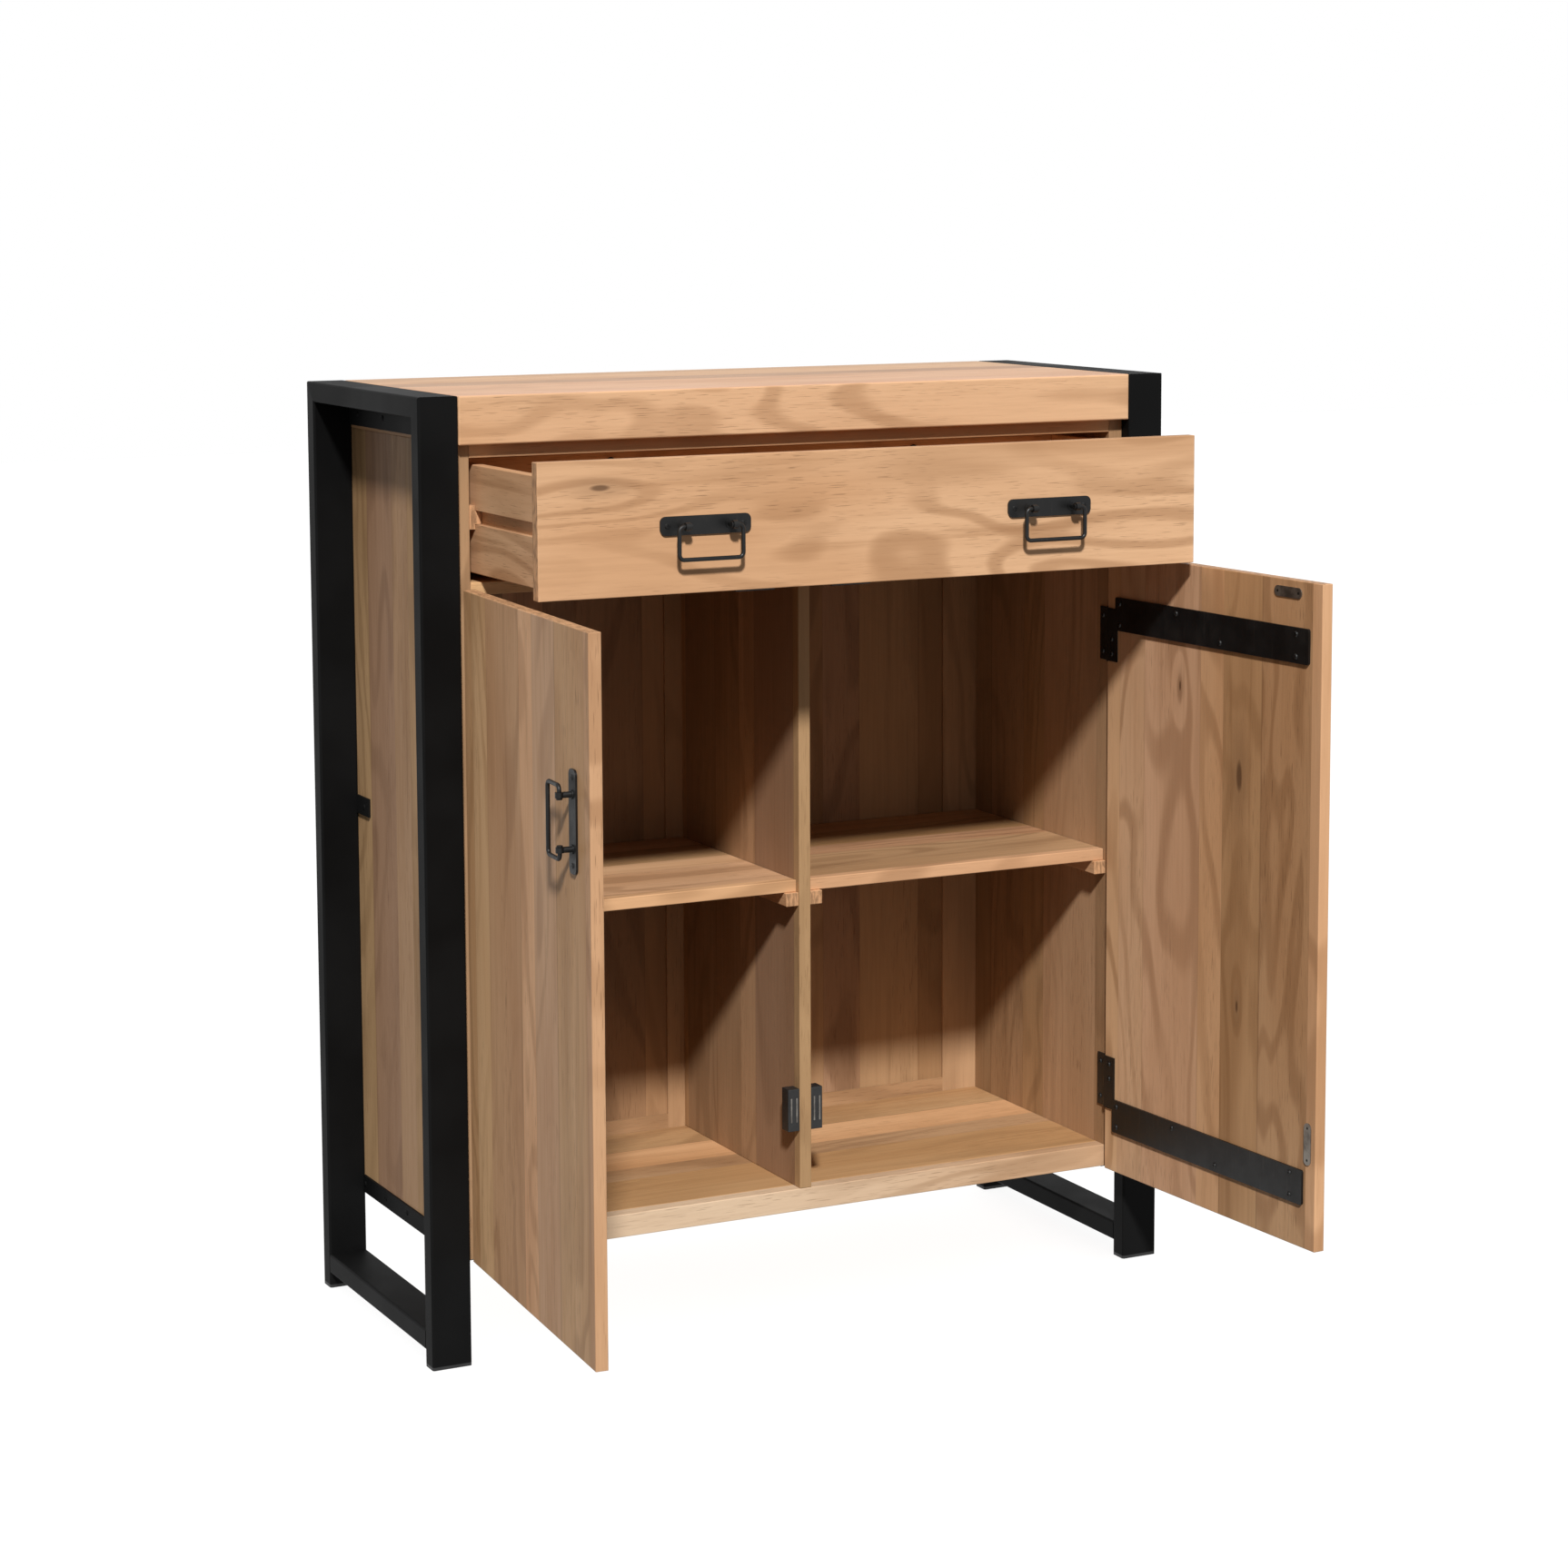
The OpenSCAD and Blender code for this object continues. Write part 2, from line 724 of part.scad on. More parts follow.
module shelf_shape() {
    board([-in_x + shelf_gap, cab_front + shelf_recess, shelf_z - shelf_t],
        [-divider_t / 2 - shelf_gap, back_in, shelf_z]);
}

module left_shelf() {
    color(wood) shelf_shape();
}

module right_shelf() {
    color(wood) mirror([1, 0, 0]) shelf_shape();
}

module shelf_cleats() {
    color(wood) both_sides() for (x = [-in_x, -divider_t / 2 - cleat])
        board([x, cab_front + cleat_recess, shelf_z - shelf_t - cleat],
            [x + cleat, back_in, shelf_z - shelf_t]);
}

module drawer_runners() {
    color(wood) both_sides() {
        box([-in_x, cab_front + runner_recess, runner_z - runner_base_h / 2],
            [-in_x + drawer_side_gap - slide_gap, back_in, runner_z + runner_base_h / 2]);
        box([-in_x, cab_front + runner_recess, runner_z - runner_tongue_h / 2],
            [-in_x + drawer_side_gap + groove_d - slide_gap, back_in, runner_z + runner_tongue_h / 2]);
    }
}

// ---------- back ----------

rail_z = [cabinet_raise + lower_rail_h, cab_top - upper_rail_h];
panel_x = [centre_stile_w / 2, in_x - stile_w];

// Left back panel, tongue included; also cuts the grooves of the frame around it
module back_panel_blank() {
    box([-panel_x[1] - groove_in, back_in + back_panel_recess, rail_z[0] - groove_in],
        [-panel_x[0] + groove_in, back_in + back_panel_recess + back_panel_t, rail_z[1] + groove_in]);
}

module back_stiles() {
    color(wood) difference() {
        union() {
            both_sides() box([-in_x, back_in, cabinet_raise], [-in_x + stile_w, cab_back, cab_top]);
            box([-centre_stile_w / 2, back_in, cabinet_raise], [centre_stile_w / 2, cab_back, cab_top]);
        }
        both_sides() back_panel_blank();
    }
}

module back_rails() {
    color(wood) difference() {
        both_sides() {
            box([-panel_x[1], back_in, cabinet_raise], [-panel_x[0], cab_back, rail_z[0]]);
            box([-panel_x[1], back_in, rail_z[1]], [-panel_x[0], cab_back, cab_top]);
        }
        both_sides() back_panel_blank();
    }
}

module left_back_panel() {
    color(wood) back_panel_blank();
}

module right_back_panel() {
    color(wood) mirror([1, 0, 0]) back_panel_blank();
}

// ---------- magnetic catches ----------

// Catch body lying against a wall: x = width from the wall, y = depth, z = length
module catch_shape() {
    board([0, 0, -catch_l / 2], [catch_w, catch_d, catch_l / 2], 1, 8);
}

// The two pole plates of a catch, in the same frame
module pole_shapes() {
    for (s = [-1, 1]) translate([catch_w / 2 + s * pole_pitch / 2 - pole_t / 2, -pole_proud, -pole_l / 2])
        cube([pole_t, pole_proud + pole_in, pole_l]);
}

// Places of the left lower and left upper catch
module left_catches_at() {
    translate([-divider_t / 2, catch_front, lower_catch_mid_z]) mirror([1, 0, 0]) children();
    translate([-upper_catch_x, catch_front, bay_floor - mid_t]) rotate([0, 90, 0])
        scale([upper_catch_h / catch_w, 1, 1]) children();
}

module catch_bodies() {
    color(plastic) both_sides() left_catches_at() difference() {
        catch_shape();
        pole_shapes();
    }
}

module catch_poles() {
    color(steel) both_sides() left_catches_at() pole_shapes();
}

// ---------- hinges ----------

// Screws of the fixed hinge leaves, heads facing the inside on the left side
module left_leaf_screws_at() {
    for (z = hinge_z, s = [-1, 1])
        translate([-in_x + leaf_t, cab_front + leaf_screw_back,
                z + hinge_h / 2 + s * (hinge_h / 2 - leaf_screw_inset)])
            rotate([0, 90, 0]) children();
}

// Every second knuckle of both hinges, counted from the first one given
module knuckles(first) {
    for (z = hinge_z, k = [first : 2 : knuckle_n - 1])
        translate([-pin_x, pin_y, z + k * knuckle_h + knuckle_gap / 2])
            cylinder(r = knuckle_r, h = knuckle_h - knuckle_gap);
}

module pin_bores(r) {
    for (z = hinge_z) translate([-pin_x, pin_y, z - 1]) cylinder(r = r, h = hinge_h + 2);
}

module knuckle_room(r, extra = 0) {
    for (z = hinge_z) translate([-pin_x, pin_y, z - extra]) cylinder(r = r, h = hinge_h + 2 * extra);
}

module fixed_leaves_shape() {
    difference() {
        union() {
            difference() {
                for (z = hinge_z) box([-in_x, pin_y, z], [-in_x + leaf_t, cab_front + leaf_l, z + hinge_h]);
                knuckle_room(knuckle_r + leaf_cut_gap, 1);
            }
            knuckles(0);
            for (z = hinge_z, k = [0 : 2 : knuckle_n - 1])
                box([-in_x, pin_y, z + k * knuckle_h + knuckle_gap / 2],
                    [-in_x + leaf_t, pin_y + knuckle_r + 1, z + (k + 1) * knuckle_h - knuckle_gap / 2]);
        }
        pin_bores(pin_r);
        left_leaf_screws_at() screw_hole(screw_l);
    }
}

module left_hinge_leaves() {
    color(steel) fixed_leaves_shape();
}

module right_hinge_leaves() {
    color(steel) mirror([1, 0, 0]) fixed_leaves_shape();
}

module pins_shape() {
    for (z = hinge_z) translate([-pin_x, pin_y, z]) {
        translate([0, 0, -pin_head_h / 2]) cylinder(r = pin_r, h = hinge_h + pin_head_h);
        translate([0, 0, -pin_head_h]) cylinder(r = pin_r + pin_head_rim, h = pin_head_h);
        translate([0, 0, hinge_h]) cylinder(r = pin_r + pin_head_rim, h = pin_head_h);
    }
}

module left_hinge_pins() {
    color(steel) pins_shape();
}

module right_hinge_pins() {
    color(steel) mirror([1, 0, 0]) pins_shape();
}

module hinge_leaf_screws() {
    color(steel) both_sides() left_leaf_screws_at() screw(screw_l);
}

// ---------- doors, drawn closed on the left side ----------

module left_swing() {
    translate([-pin_x, pin_y, 0]) rotate([0, 0, -left_open]) translate([pin_x, -pin_y, 0]) children();
}

module right_swing() {
    translate([pin_x, pin_y, 0]) rotate([0, 0, right_open]) translate([-pin_x, -pin_y, 0])
        mirror([1, 0, 0]) children();
}

// Places on the door's inner face: x counts from the hinge edge
module on_door_inside(d, z, proud) {
    translate([-door_x0 + d, door_in_y + proud, z]) rotate([-90, 0, 0]) children();
}

module strap_screws_at() {
    for (z = strap_z) {
        for (s = [-1, 1]) {
            on_door_inside(strap_first_x, z + s * strap_pair_z, strap_t) children();
            on_door_inside(strap_last_x, z + s * strap_pair_z, strap_t) children();
        }
        on_door_inside(strap_mid_x, z + strap_pair_z, strap_t) children();
        on_door_inside(strap_far_x, z - strap_pair_z, strap_t) children();
    }
    for (dz = [door_leaf_screw_inset, door_leaf_screw_inset + door_leaf_screw_pitch]) {
        on_door_inside(leaf_w / 2, hinge_z[1] + dz, leaf_t) children();
        on_door_inside(leaf_w / 2, hinge_z[0] + hinge_h - dz, leaf_t) children();
    }
}

// Middles of the two strikes: the lower one stands upright and the upper one lies
module strikes_at() {
    on_door_inside(door_x0 - strike_mid_x, lower_catch_mid_z, 0) rotate([0, 0, 90]) children();
    on_door_inside(door_x0 - upper_catch_x, upper_catch_mid_z, 0) children();
}

module strike_screws_at() {
    strikes_at() for (s = [-1, 1])
        translate([s * (strike_l / 2 - strike_screw_inset), 0, strike_t]) children();
}

// Frame of the door handle: its length upright, outside of the door towards the front
module door_handle_at() {
    translate([-door_handle_x, door_out_y, door_handle_z]) rotate([0, 90, 0]) children();
}

module handle_screws_at() {
    for (s = [-1, 1]) translate([s * face_screw_x, -plate_t, 0]) rotate([90, 0, 0]) children();
}

module door_panel_shape() {
    difference() {
        board([-door_x0, door_out_y, door_z0], [-door_mid_gap / 2, door_in_y, door_z1]);
        knuckle_room(pocket_r, pocket_end_gap);
        strap_screws_at() screw_hole(screw_l);
        strike_screws_at() screw_hole(strike_screw_l);
        door_handle_at() handle_screws_at() screw_hole(screw_l);
    }
}

module straps_shape() {
    difference() {
        union() {
            difference() {
                union() {
                    for (z = hinge_z)
                        box([-door_x0, door_in_y, z], [-door_x0 + leaf_w, door_in_y + leaf_t, z + hinge_h]);
                    for (z = strap_z) on_door_inside(strap_start + strap_len / 2, z, 0)
                        linear_extrude(strap_t) translate([-strap_len / 2, -strap_h / 2])
                            round_rect(strap_len, strap_h, strap_r);
                }
                knuckle_room(knuckle_r + leaf_cut_gap, 1);
            }
            for (z = hinge_z, k = [1 : 2 : knuckle_n - 1])
                box([-pin_x + web_start, pin_y + 0.5, z + k * knuckle_h + knuckle_gap / 2],
                    [-pin_x + web_end, door_in_y + leaf_t, z + (k + 1) * knuckle_h - knuckle_gap / 2]);
            knuckles(1);
        }
        pin_bores(pin_r + pin_clearance);
        strap_screws_at() screw_hole(screw_l);
    }
}

module strikes_shape() {
    difference() {
        strikes_at() oblong(strike_l, strike_w, strike_t);
        strike_screws_at() screw_hole(strike_screw_l);
    }
}

module door_screws_shape() {
    strap_screws_at() screw(screw_l);
    strike_screws_at() flush_screw();
    door_handle_at() handle_screws_at() screw(screw_l);
}

// Strike screw whose thin head leaves room for the catch behind a closed door
module flush_screw() {
    translate([0, 0, -strike_screw_l]) cylinder(r = shank_r, h = strike_screw_l + flush_head_h, $fn = 14);
}

// Plate with two eyes; length along X, outwards along -Y
module handle_shape() {
    difference() {
        union() {
            rotate([90, 0, 0]) translate([-plate_l / 2, -plate_w / 2, 0]) linear_extrude(plate_t)
                round_rect(plate_l, plate_w, plate_r);
            for (s = [-1, 1]) translate([s * post_x, 0, 0]) {
                rotate([90, 0, 0]) cylinder(r = collar_r, h = plate_t + collar_h, $fn = 24);
                rotate([90, 0, 0]) cylinder(r = post_r, h = bail_standoff, $fn = 24);
                translate([-eye_w / 2, -bail_standoff, 0]) rotate([0, 90, 0])
                    cylinder(r = eye_r, h = eye_w, $fn = 24);
            }
        }
        for (s = [-1, 1]) translate([s * post_x - eye_w, -bail_standoff, 0]) rotate([0, 90, 0])
            cylinder(r = bar_r + bar_clearance, h = 2 * eye_w, $fn = 24);
        handle_screws_at() screw_hole(screw_l);
    }
}

// Bail hanging along -Z from its axis in front of the plate
module bail_shape() {
    side = arm_x - bail_bend;
    stub = post_x - eye_w / 2 - bar_end;
    translate([0, -bail_standoff, 0]) {
        both_sides() {
            translate([stub, 0, 0]) rotate([0, 90, 0]) cylinder(r = bar_r, h = side - stub, $fn = 24);
            translate([stub, 0, 0]) rotate([0, 90, 0])
                cylinder(r = bar_r + bar_head_rim, h = bar_head_t, $fn = 24);
            translate([side, 0, -bail_bend]) rotate([90, 0, 0])
                rotate_extrude(angle = 90, $fn = 32) translate([bail_bend, 0]) circle(bar_r, $fn = 24);
            translate([arm_x, 0, bail_bend - bail_drop])
                cylinder(r = bar_r, h = bail_drop - 2 * bail_bend, $fn = 24);
            translate([side, 0, bail_bend - bail_drop]) rotate([90, 0, 0]) rotate([0, 0, -90])
                rotate_extrude(angle = 90, $fn = 32) translate([bail_bend, 0]) circle(bar_r, $fn = 24);
        }
        translate([-side, 0, -bail_drop]) rotate([0, 90, 0]) cylinder(r = bar_r, h = 2 * side, $fn = 24);
    }
}

module left_door_panel() {
    color(wood) left_swing() door_panel_shape();
}

module left_door_straps() {
    color(black) left_swing() straps_shape();
}

module left_door_strikes() {
    color(steel) left_swing() strikes_shape();
}

module left_door_screws() {
    color(black) left_swing() door_screws_shape();
}

module left_door_handle() {
    color(black) left_swing() door_handle_at() handle_shape();
}

module left_door_bail() {
    color(black) left_swing() door_handle_at() bail_shape();
}

module right_door_panel() {
    color(wood) right_swing() door_panel_shape();
}

module right_door_straps() {
    color(black) right_swing() straps_shape();
}

module right_door_strikes() {
    color(steel) right_swing() strikes_shape();
}

module right_door_screws() {
    color(black) right_swing() door_screws_shape();
}

module right_door_handle() {
    color(black) right_swing() door_handle_at() handle_shape();
}

module right_door_bail() {
    color(black) right_swing() door_handle_at() bail_shape();
}

// ---------- drawer, drawn closed ----------

module slid_out() {
    translate([0, -drawer_out, 0]) children();
}

module drawer_handles_at() {
    for (x = [-handle_x, handle_x]) translate([x, door_out_y, handle_z]) children();
}

// Places of the two bolts on the inside of the drawer's back
module back_bolts_at() {
    for (x = [-back_screw_x, back_screw_x])
        translate([x, drawer_rear - drawer_back_t, back_screw_z]) rotate([90, 0, 0]) children();
}

module drawer_bottom_blank() {
    x = drawer_side_x - drawer_side_t + bottom_in;
    z = drawer_low + drawer_bottom_z;
    box([-x, door_in_y - bottom_in, z], [x, drawer_rear - drawer_back_t + bottom_in, z + drawer_bottom_t]);
}

module drawer_side_shape() {
    difference() {
        board([-drawer_side_x, door_in_y, drawer_low],
            [-drawer_side_x + drawer_side_t, drawer_rear, drawer_low + drawer_side_h]);
        box([-drawer_side_x - 1, door_in_y - 1, runner_z - runner_tongue_h / 2 - slide_gap],
            [-drawer_side_x + groove_d, drawer_rear + 1, runner_z + runner_tongue_h / 2 + slide_gap]);
        drawer_bottom_blank();
    }
}

module drawer_front() {
    color(wood) slid_out() difference() {
        board([-drawer_w2, door_out_y, drawer_z0], [drawer_w2, door_in_y, drawer_z0 + drawer_front_h]);
        drawer_bottom_blank();
        drawer_handles_at() handle_screws_at() screw_hole(screw_l);
    }
}

module drawer_left_side() {
    color(wood) slid_out() drawer_side_shape();
}

module drawer_right_side() {
    color(wood) slid_out() mirror([1, 0, 0]) drawer_side_shape();
}

module drawer_back() {
    x = drawer_side_x - drawer_side_t;
    color(wood) slid_out() difference() {
        board([-x, drawer_rear - drawer_back_t, drawer_low], [x, drawer_rear, drawer_low + drawer_side_h]);
        drawer_bottom_blank();
        back_bolts_at() screw_hole(screw_l);
    }
}

module drawer_bottom() {
    color(wood) slid_out() drawer_bottom_blank();
}

module drawer_handles() {
    color(black) slid_out() drawer_handles_at() handle_shape();
}

module drawer_left_bail() {
    color(black) slid_out() translate([-handle_x, door_out_y, handle_z]) bail_shape();
}

module drawer_right_bail() {
    color(black) slid_out() translate([handle_x, door_out_y, handle_z]) bail_shape();
}

module drawer_screws() {
    color(black) slid_out() {
        drawer_handles_at() handle_screws_at() screw(screw_l);
        back_bolts_at() {
            screw(screw_l);
            cylinder(r = bolt_head_r, h = washer_t, $fn = 24);
            cylinder(r = bolt_head_r * 0.72, h = bolt_head_h, $fn = 6);
        }
    }
}

left_front_leg();
left_rear_leg();
left_top_rail();
left_floor_runner();
right_front_leg();
right_rear_leg();
right_top_rail();
right_floor_runner();
foot_caps();
bottom_angles();
top_brackets();
rear_clips();
frame_screws();
top_board();
top_front_apron();
top_rear_apron();
top_end_battens();
left_side_panel();
right_side_panel();
cabinet_ceiling();
mid_board();
bottom_board();
bottom_front_rail();
divider();
left_shelf();
right_shelf();
shelf_cleats();
drawer_runners();
back_stiles();
back_rails();
left_back_panel();
right_back_panel();
catch_bodies();
catch_poles();
left_hinge_leaves();
right_hinge_leaves();
left_hinge_pins();
right_hinge_pins();
hinge_leaf_screws();
left_door_panel();
left_door_straps();
left_door_strikes();
left_door_screws();
left_door_handle();
left_door_bail();
right_door_panel();
right_door_straps();
right_door_strikes();
right_door_screws();
right_door_handle();
right_door_bail();
drawer_front();
drawer_left_side();
drawer_right_side();
drawer_back();
drawer_bottom();
drawer_handles();
drawer_left_bail();
drawer_right_bail();
drawer_screws();
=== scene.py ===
"""Tall sideboard with its drawer pulled out and both doors open: materials, light and camera."""

import math

import bpy
from mathutils import Matrix, Vector

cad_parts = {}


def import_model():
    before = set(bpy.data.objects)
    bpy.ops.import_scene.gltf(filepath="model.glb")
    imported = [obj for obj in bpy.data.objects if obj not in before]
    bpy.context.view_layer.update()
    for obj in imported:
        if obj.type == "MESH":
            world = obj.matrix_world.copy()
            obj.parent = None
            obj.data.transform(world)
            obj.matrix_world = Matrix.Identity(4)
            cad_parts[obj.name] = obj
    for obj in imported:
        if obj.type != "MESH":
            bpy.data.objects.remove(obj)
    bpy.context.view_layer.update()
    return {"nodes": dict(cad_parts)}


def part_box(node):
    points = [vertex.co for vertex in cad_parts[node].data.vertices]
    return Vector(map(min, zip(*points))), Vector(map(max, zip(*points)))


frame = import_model()
nodes = frame["nodes"]


# ---------- node graphs ----------

class Graph:
    """A material and short calls that add nodes to it."""

    def __init__(self, name):
        self.material = bpy.data.materials.new(name)
        self.material.use_nodes = True
        self.tree = self.material.node_tree
        self.shader = self.tree.nodes["Principled BSDF"]

    def put(self, socket, value):
        if isinstance(value, bpy.types.NodeSocket):
            self.tree.links.new(value, socket)
        else:
            socket.default_value = value

    def add(self, kind, inputs, out=0, **settings):
        node = self.tree.nodes.new("ShaderNode" + kind)
        for key, value in settings.items():
            setattr(node, key, value)
        for key, value in inputs.items():
            self.put(node.inputs[key], value)
        return node.outputs[out]

    def math(self, operation, *values):
        return self.add("Math", dict(enumerate(values)), operation=operation)

    def vector(self, operation, a, b):
        return self.add("VectorMath", {0: a, 1: b}, operation=operation)

    def combine(self, x, y, z):
        return self.add("CombineXYZ", {0: x, 1: y, 2: z})

    def noise(self, place, stretch=(1, 1, 1), scale=1.0, detail=2.0, rough=0.5, distortion=0.0):
        stretched = self.vector("MULTIPLY", place, stretch)
        inputs = {"Vector": stretched, "Scale": scale, "Detail": detail}
        inputs.update({"Roughness": rough, "Distortion": distortion})
        return self.add("TexNoise", inputs)

    def ramp(self, value, low, high, to_low=0.0, to_high=1.0):
        inputs = {0: value, 1: low, 2: high, 3: to_low, 4: to_high}
        return self.add("MapRange", inputs, interpolation_type="SMOOTHSTEP")

    def mix(self, share, a, b, blend="MIX"):
        """Colours a and b; the node's sockets go by number, since its names repeat per data type."""
        node = self.tree.nodes.new("ShaderNodeMix")
        node.data_type = "RGBA"
        node.blend_type = blend
        for index, value in ((0, share), (6, a), (7, b)):
            self.put(node.inputs[index], value)
        return node.outputs[2]

    def bump(self, height, strength, distance):
        inputs = {"Height": height, "Strength": strength, "Distance": distance}
        self.put(self.shader.inputs["Normal"], self.add("Bump", inputs))

    def surface(self, **values):
        for key, value in values.items():
            self.put(self.shader.inputs[key.replace("_", " ")], value)

    def place(self):
        return self.add("TexCoord", {}, out="Object")

    def shifted(self, seed, y, z):
        """The place, moved by the seed so that no two nodes show the same pattern."""
        return self.vector("ADD", self.place(), (seed, seed * y, seed * z))


def grey(value):
    return (value, value, value, 1.0)


def rgba(colour):
    return (*colour, 1.0)


# ---------- wood ----------

AXES = {"X": 0, "Y": 1, "Z": 2}

# Linear colours of light, middle and dark wood
HONEY = ((0.75, 0.460, 0.262), (0.62, 0.342, 0.176), (0.34, 0.165, 0.072))
TAWNY = ((0.66, 0.395, 0.215), (0.53, 0.290, 0.142), (0.26, 0.128, 0.056))
BROWN = ((0.49, 0.300, 0.165), (0.38, 0.218, 0.110), (0.20, 0.105, 0.048))
PALE = ((0.74, 0.550, 0.375), (0.58, 0.370, 0.220), (0.30, 0.160, 0.075))

PORE = rgba((0.16, 0.075, 0.032))
KNOT_DARK = rgba((0.085, 0.038, 0.018))
END_GRAIN = rgba((0.30, 0.165, 0.085))

WAVE_LENGTH = 2.7  # of the wave that makes the glued boards uneven, in board widths
WAVE_REACH = 0.30  # how far it moves a joint, in board widths
JOINT_REACH = 0.0008  # metres from a glued joint that are darker
KNOT_STRETCH = 3.4  # a knot's length along the grain over its width
FIGURE_LINES = 9.0  # growth lines per unit of the figure's field
BOARD_SHIFT = (9.0, 5.0, 4.0)  # metres by which one board's pattern may differ from the next
SEED_STEP = 1.37  # keeps the draws of different nodes apart


def board_number(g, side, width):
    """Which glued board a point is on; the boards' widths differ, as sawn stock does."""
    turn = g.math("MULTIPLY", side, 2 * math.pi / (width * WAVE_LENGTH))
    uneven = g.math("ADD", side, g.math("MULTIPLY", g.math("SINE", turn), width * WAVE_REACH))
    return g.math("DIVIDE", uneven, width)


def knot_distance(g, along, side, knot):
    """Distance from a knot in its own radii, longer along the grain."""
    knot_along, knot_side, radius = knot
    du = g.math("DIVIDE", g.math("SUBTRACT", along, knot_along), radius * KNOT_STRETCH)
    dv = g.math("DIVIDE", g.math("SUBTRACT", side, knot_side), radius)
    return g.math("SQRT", g.math("ADD", g.math("MULTIPLY", du, du), g.math("MULTIPLY", dv, dv)))


def end_mask(g, grain):
    """One on faces that look along the grain, where the board's end shows."""
    facing = g.add("SeparateXYZ", {0: g.add("TexCoord", {}, out="Normal")}).node.outputs[AXES[grain]]
    return g.ramp(g.math("ABSOLUTE", facing), 0.80, 0.95)


def wood(name, grain, across, seed, tone, plank, knots, contrast, gloss):
    """Lacquered hardwood. grain and across are axes; plank is a glued board's width, 0 for one board."""
    g = Graph(name)
    place = g.add("SeparateXYZ", {0: g.place()}).node.outputs
    third = ({"X", "Y", "Z"} - {grain, across}).pop()
    along, side, deep = place[AXES[grain]], place[AXES[across]], place[AXES[third]]

    number = board_number(g, side, plank) if plank else None
    board = g.math("FLOOR", number) if plank else 0.0
    chance = g.add("TexWhiteNoise", {"W": g.math("ADD", board, seed * SEED_STEP)}, noise_dimensions="1D")
    draws = g.add("SeparateXYZ", {0: chance.node.outputs["Color"]}).node.outputs
    here = g.combine(*(
        g.math("ADD", distance, g.math("MULTIPLY", draw, reach))
        for distance, draw, reach in zip((along, side, deep), draws, BOARD_SHIFT)
    ))

    # Growth figure: level lines of a field that is stretched along the grain and bent by a slow sway
    sway = g.noise(here, (2.2, 3.6, 3.6), detail=2.0)
    field = g.noise(here, (1.5, 6.5, 4.0), detail=2.0, rough=0.45, distortion=0.5)
    field = g.math("ADD", field, g.math("MULTIPLY", sway, 0.35))
    core = None
    for knot in knots:
        off = knot_distance(g, along, side, knot)
        field = g.math("ADD", field, g.ramp(off, 0.0, 7.0, 0.10, 0.0))
        halo = g.ramp(off, 0.6, 3.4, 0.30, 0.0)
        dark = g.math("MAXIMUM", g.ramp(off, 0.35, 1.0, 1.0, 0.0), halo)
        core = dark if core is None else g.math("MAXIMUM", core, dark)
    lines = g.ramp(g.math("SINE", g.math("MULTIPLY", field, 2 * math.pi * FIGURE_LINES)), -0.1, 1.0)
    fade = g.ramp(g.noise(here, (1.3, 6.0, 6.0), detail=1.0), 0.35, 0.62)
    lines = g.math("MULTIPLY", lines, fade)

    # Finer layers: blotches, stains, fibres, streaks and pores
    blotch = g.noise(here, (1.1, 5.5, 4.0), detail=3.0, rough=0.55, distortion=0.4)
    stain = g.ramp(g.noise(here, (1.8, 9.0, 6.0), detail=2.0), 0.56, 0.74)
    fibre = g.noise(here, (7.0, 210.0, 210.0), detail=3.0, rough=0.62)
    streak = g.noise(here, (2.2, 46.0, 46.0), detail=3.0, rough=0.6, distortion=0.3)
    pores = g.ramp(g.noise(here, (34.0, 820.0, 820.0), detail=1.0), 0.60, 0.72)
    pore_zone = g.ramp(g.noise(here, (1.8, 12.0, 12.0), detail=2.0), 0.42, 0.62, 0.12, 1.0)
    pores = g.math("MULTIPLY", pores, pore_zone)

    light, middle, deep_tone = (rgba(c) for c in tone)
    colour = g.mix(g.ramp(blotch, 0.34, 0.68), light, middle)
    colour = g.mix(g.math("MULTIPLY", stain, 0.30 * contrast), colour, deep_tone)
    colour = g.mix(g.math("MULTIPLY", lines, 0.34 * contrast), colour, deep_tone)
    colour = g.mix(g.ramp(streak, 0.54, 0.80, 0.0, 0.38 * contrast), colour, deep_tone)
    colour = g.mix(g.ramp(fibre, 0.34, 0.78, 0.0, 0.16), colour, deep_tone)
    colour = g.mix(g.math("MULTIPLY", pores, 0.46), colour, PORE)
    if plank:
        # Each board has its own tint, and its joints are darker
        shade = g.math("ADD", 0.74, g.math("MULTIPLY", chance, 0.40))
        warmth = g.math("MULTIPLY", shade, g.math("ADD", 0.96, g.math("MULTIPLY", draws[2], 0.06)))
        cool = g.math("MULTIPLY", shade, g.math("ADD", 0.90, g.math("MULTIPLY", draws[1], 0.16)))
        colour = g.mix(1.0, colour, g.combine(shade, warmth, cool), blend="MULTIPLY")
        edge = g.math("ABSOLUTE", g.math("SUBTRACT", g.math("FRACT", number), 0.5))
        colour = g.mix(g.ramp(edge, 0.5 - JOINT_REACH / plank, 0.5, 0.0, 0.35), colour, PORE)
    if core is not None:
        colour = g.mix(g.math("MULTIPLY", core, 0.80), colour, KNOT_DARK)

    # Board ends: browner, with close rings and open pores
    rings = g.noise(here, (20.0, 60.0, 240.0), detail=3.0, rough=0.6, distortion=0.6)
    end_colour = g.mix(g.ramp(rings, 0.35, 0.68), rgba(tone[1]), END_GRAIN)
    colour = g.mix(end_mask(g, grain), colour, end_colour)

